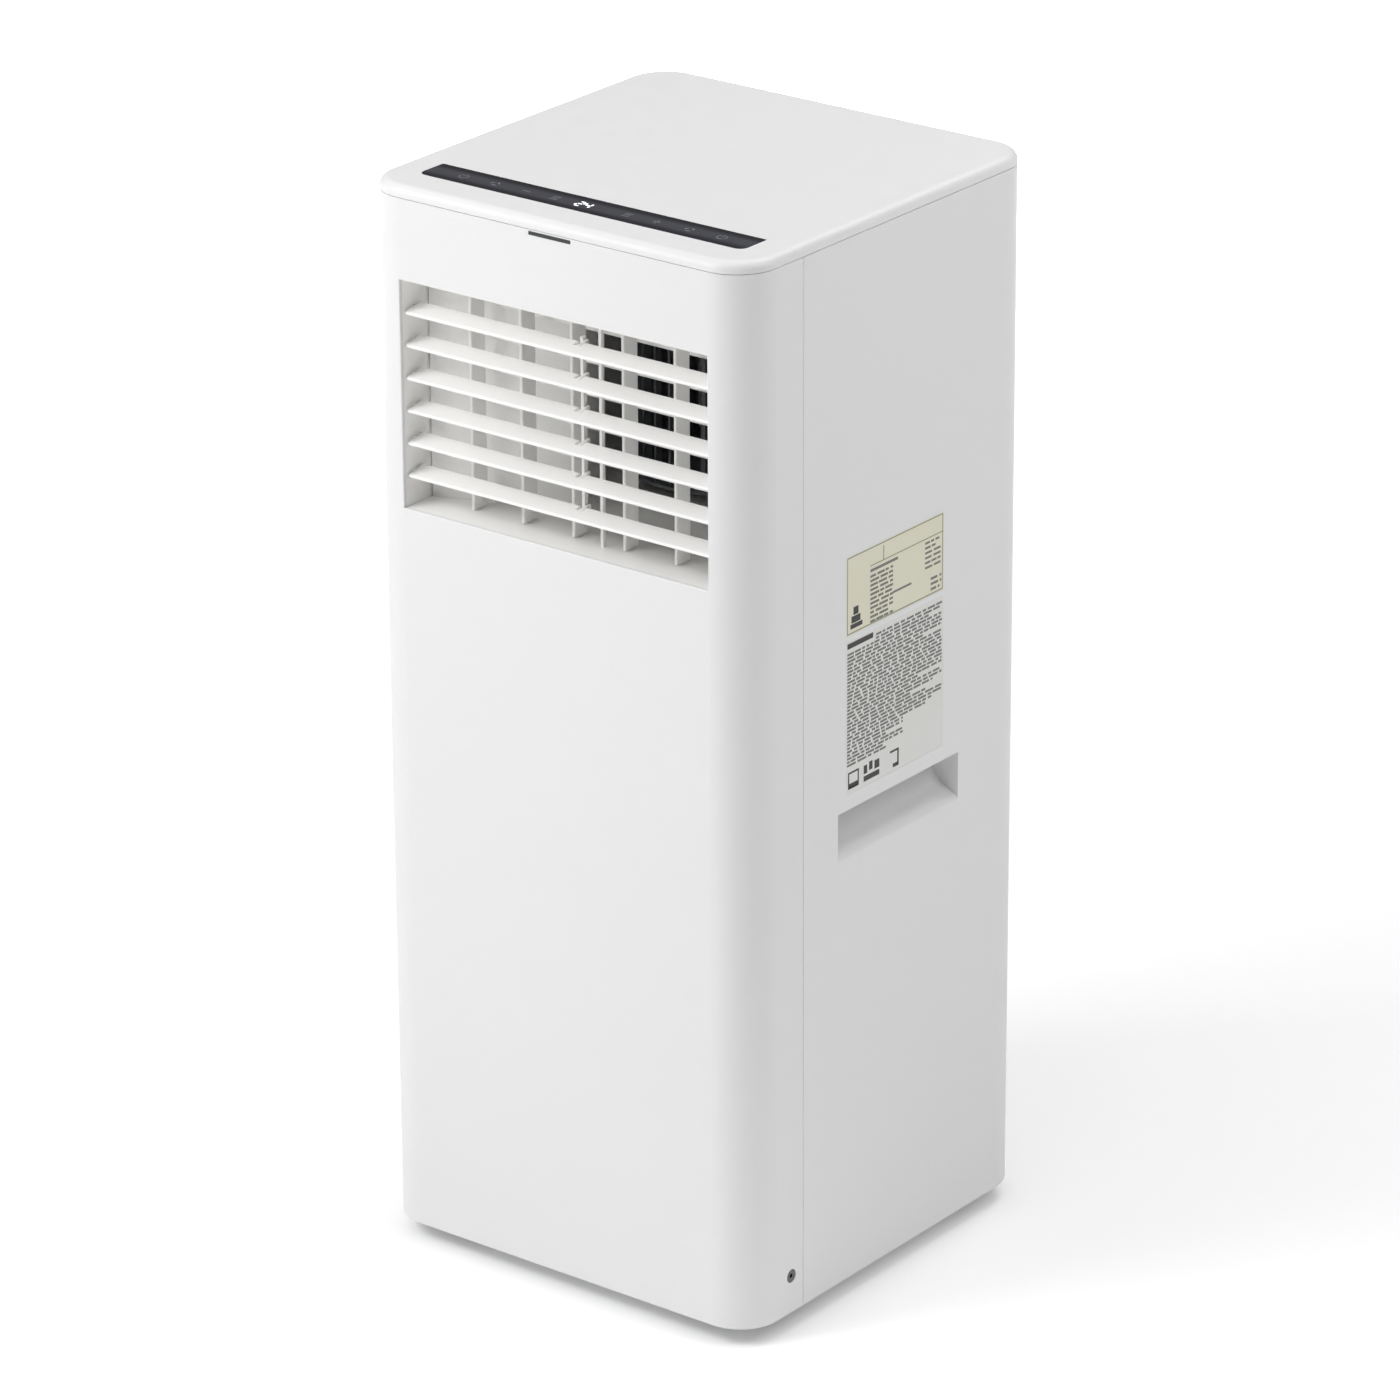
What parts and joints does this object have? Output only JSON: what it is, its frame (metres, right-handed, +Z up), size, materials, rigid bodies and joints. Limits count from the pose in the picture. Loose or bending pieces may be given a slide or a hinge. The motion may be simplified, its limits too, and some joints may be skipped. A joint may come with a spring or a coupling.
{
  "type": "portable air conditioner",
  "caption": "Upright floor-standing air conditioner on hidden casters, with a louvred front outlet, top touch strip, side grips, rear filter panel and round exhaust socket.",
  "frame": {"origin": "on the floor, under the middle of the casing", "axes": "+Z up; the louvred front faces -Y; the side with the labels faces +X"},
  "size_m": [0.29, 0.29, 0.7],
  "materials": {
    "casing_white": "satin moulded",
    "outlet_white": "satin moulded",
    "strip_black": "polished",
    "badge_grey": "polished",
    "board_green": "solder mask",
    "label_cream": "printed film",
    "label_white": "printed film",
    "base_grey": "moulded",
    "caster_black": "moulded",
    "wheel_grey": "moulded",
    "screw_steel": "dark plated",
    "shaft_steel": "turned",
    "housing_black": "moulded",
    "fan_grey": "moulded",
    "motor_steel": "plated",
    "filter_mesh": "woven",
    "plug_rubber": "moulded",
    "coil_aluminium": "mill",
    "compressor_black": "satin",
    "pipe_copper": "drawn"
  },
  "bodies": {
    "casing": {"front_shell": "casing_white", "rear_shell": "casing_white", "top_cover": "casing_white", "lower_intake_grille": "casing_white", "outlet_frame": "outlet_white", "evaporator_scroll": "outlet_white", "control_strip": "strip_black", "badge_bar": "badge_grey", "control_board": "board_green", "main_board": "board_green", "rating_label": "label_cream", "notice_label": "label_white", "base_pan": "base_grey", "drain_deck": "base_grey", "casing_screws": "screw_steel", "condenser_scroll": "housing_black", "exhaust_duct": "housing_black", "exhaust_collar": "housing_black", "cord_gland": "housing_black", "evaporator_motor": "motor_steel", "condenser_motor": "motor_steel", "electrical_box": "motor_steel", "compressor_grommets": "plug_rubber", "evaporator_coil": "coil_aluminium", "condenser_coil": "coil_aluminium", "run_capacitor": "coil_aluminium", "compressor": "compressor_black", "accumulator": "compressor_black", "discharge_line": "pipe_copper", "suction_line": "pipe_copper", "capillary_tube": "pipe_copper"},
    "evaporator_rotor": {"evaporator_fan": "fan_grey", "evaporator_shaft": "shaft_steel"},
    "condenser_rotor": {"condenser_fan": "fan_grey", "condenser_shaft": "shaft_steel"},
    "filter": {"filter_frame": "casing_white", "filter_mesh": "filter_mesh"},
    "upper_plug": {"upper_drain_plug": "plug_rubber"},
    "lower_plug": {"lower_drain_plug": "plug_rubber"},
    "blade_tie": {"blade_link": "outlet_white"},
    "vane_tie": {"vane_link": "outlet_white"},
    "blade_1": {"blade_1": "outlet_white"},
    "blade_2": {"blade_2": "outlet_white"},
    "blade_3": {"blade_3": "outlet_white"},
    "blade_4": {"blade_4": "outlet_white"},
    "blade_5": {"blade_5": "outlet_white"},
    "blade_6": {"blade_6": "outlet_white"},
    "vane_1": {"vane_1": "outlet_white"},
    "vane_2": {"vane_2": "outlet_white"},
    "vane_3": {"vane_3": "outlet_white"},
    "vane_4": {"vane_4": "outlet_white"},
    "vane_5": {"vane_5": "outlet_white"},
    "caster_1": {"caster_fork_1": "caster_black"},
    "wheel_1": {"caster_wheel_1": "wheel_grey"},
    "caster_2": {"caster_fork_2": "caster_black"},
    "wheel_2": {"caster_wheel_2": "wheel_grey"},
    "caster_3": {"caster_fork_3": "caster_black"},
    "wheel_3": {"caster_wheel_3": "wheel_grey"},
    "caster_4": {"caster_fork_4": "caster_black"},
    "wheel_4": {"caster_wheel_4": "wheel_grey"}
  },
  "joints": [
    {"name": "blade_1_tilt", "type": "hinge", "parent": "casing", "child": "blade_1", "pos_m": [0, -0.134, 0.5166], "axis": [1, 0, 0], "range_deg": [-30, 25]},
    {"name": "blade_2_tilt", "type": "hinge", "parent": "casing", "child": "blade_2", "pos_m": [0, -0.134, 0.5374], "axis": [1, 0, 0], "range_deg": [-30, 25]},
    {"name": "blade_3_tilt", "type": "hinge", "parent": "casing", "child": "blade_3", "pos_m": [0, -0.134, 0.5582], "axis": [1, 0, 0], "range_deg": [-30, 25]},
    {"name": "blade_4_tilt", "type": "hinge", "parent": "casing", "child": "blade_4", "pos_m": [0, -0.134, 0.579], "axis": [1, 0, 0], "range_deg": [-30, 25]},
    {"name": "blade_5_tilt", "type": "hinge", "parent": "casing", "child": "blade_5", "pos_m": [0, -0.134, 0.5998], "axis": [1, 0, 0], "range_deg": [-30, 25]},
    {"name": "blade_6_tilt", "type": "hinge", "parent": "casing", "child": "blade_6", "pos_m": [0, -0.134, 0.6206], "axis": [1, 0, 0], "range_deg": [-30, 25]},
    {"name": "blade_tie_pivot", "type": "hinge", "parent": "blade_1", "child": "blade_tie", "pos_m": [0.008, -0.12438, 0.51847], "axis": [1, 0, 0], "range_deg": [-25, 30]},
    {"name": "vane_1_swing", "type": "hinge", "parent": "casing", "child": "vane_1", "pos_m": [-0.0791, -0.1175, 0.5683], "axis": [0, 0, 1], "range_deg": [-30, 30]},
    {"name": "vane_2_swing", "type": "hinge", "parent": "casing", "child": "vane_2", "pos_m": [-0.0403, -0.1175, 0.5683], "axis": [0, 0, 1], "range_deg": [-30, 30]},
    {"name": "vane_3_swing", "type": "hinge", "parent": "casing", "child": "vane_3", "pos_m": [-0.0015, -0.1175, 0.5683], "axis": [0, 0, 1], "range_deg": [-30, 30]},
    {"name": "vane_4_swing", "type": "hinge", "parent": "casing", "child": "vane_4", "pos_m": [0.0373, -0.1175, 0.5683], "axis": [0, 0, 1], "range_deg": [-30, 30]},
    {"name": "vane_5_swing", "type": "hinge", "parent": "casing", "child": "vane_5", "pos_m": [0.0761, -0.1175, 0.5683], "axis": [0, 0, 1], "range_deg": [-30, 30]},
    {"name": "vane_tie_pivot", "type": "hinge", "parent": "vane_1", "child": "vane_tie", "pos_m": [-0.0791, -0.108, 0.5025], "axis": [0, 0, 1], "range_deg": [-30, 30]},
    {"name": "evaporator_fan_spin", "type": "hinge", "parent": "casing", "child": "evaporator_rotor", "pos_m": [0.01, 0.01, 0.5], "axis": [0, 0, 1], "continuous": true},
    {"name": "condenser_fan_spin", "type": "hinge", "parent": "casing", "child": "condenser_rotor", "pos_m": [-0.008, 0.05, 0.165], "axis": [0, 1, 0], "continuous": true},
    {"name": "caster_1_swivel", "type": "hinge", "parent": "casing", "child": "caster_1", "pos_m": [-0.098, -0.098, 0.04], "axis": [0, 0, 1], "continuous": true},
    {"name": "wheel_1_roll", "type": "hinge", "parent": "caster_1", "child": "wheel_1", "pos_m": [-0.098, -0.088, 0.015], "axis": [1, 0, 0], "continuous": true},
    {"name": "caster_2_swivel", "type": "hinge", "parent": "casing", "child": "caster_2", "pos_m": [0.098, -0.098, 0.04], "axis": [0, 0, 1], "continuous": true},
    {"name": "wheel_2_roll", "type": "hinge", "parent": "caster_2", "child": "wheel_2", "pos_m": [0.098, -0.088, 0.015], "axis": [1, 0, 0], "continuous": true},
    {"name": "caster_3_swivel", "type": "hinge", "parent": "casing", "child": "caster_3", "pos_m": [-0.098, 0.098, 0.04], "axis": [0, 0, 1], "continuous": true},
    {"name": "wheel_3_roll", "type": "hinge", "parent": "caster_3", "child": "wheel_3", "pos_m": [-0.098, 0.108, 0.015], "axis": [1, 0, 0], "continuous": true},
    {"name": "caster_4_swivel", "type": "hinge", "parent": "casing", "child": "caster_4", "pos_m": [0.098, 0.098, 0.04], "axis": [0, 0, 1], "continuous": true},
    {"name": "wheel_4_roll", "type": "hinge", "parent": "caster_4", "child": "wheel_4", "pos_m": [0.098, 0.108, 0.015], "axis": [1, 0, 0], "continuous": true},
    {"name": "filter_pull", "type": "slide", "parent": "casing", "child": "filter", "axis": [0, 1, 0], "range_m": [0, 0.05]},
    {"name": "upper_plug_pull", "type": "slide", "parent": "casing", "child": "upper_plug", "axis": [0, 1, 0], "range_m": [0, 0.02]},
    {"name": "lower_plug_pull", "type": "slide", "parent": "casing", "child": "lower_plug", "axis": [0, 1, 0], "range_m": [0, 0.02]}
  ],
  "couplings": [
    {"joint": "blade_2_tilt", "follows": "blade_1_tilt", "ratio": 1},
    {"joint": "blade_3_tilt", "follows": "blade_1_tilt", "ratio": 1},
    {"joint": "blade_4_tilt", "follows": "blade_1_tilt", "ratio": 1},
    {"joint": "blade_5_tilt", "follows": "blade_1_tilt", "ratio": 1},
    {"joint": "blade_6_tilt", "follows": "blade_1_tilt", "ratio": 1},
    {"joint": "blade_tie_pivot", "follows": "blade_1_tilt", "ratio": -1},
    {"joint": "vane_2_swing", "follows": "vane_1_swing", "ratio": 1},
    {"joint": "vane_3_swing", "follows": "vane_1_swing", "ratio": 1},
    {"joint": "vane_4_swing", "follows": "vane_1_swing", "ratio": 1},
    {"joint": "vane_5_swing", "follows": "vane_1_swing", "ratio": 1},
    {"joint": "vane_tie_pivot", "follows": "vane_1_swing", "ratio": -1}
  ]
}
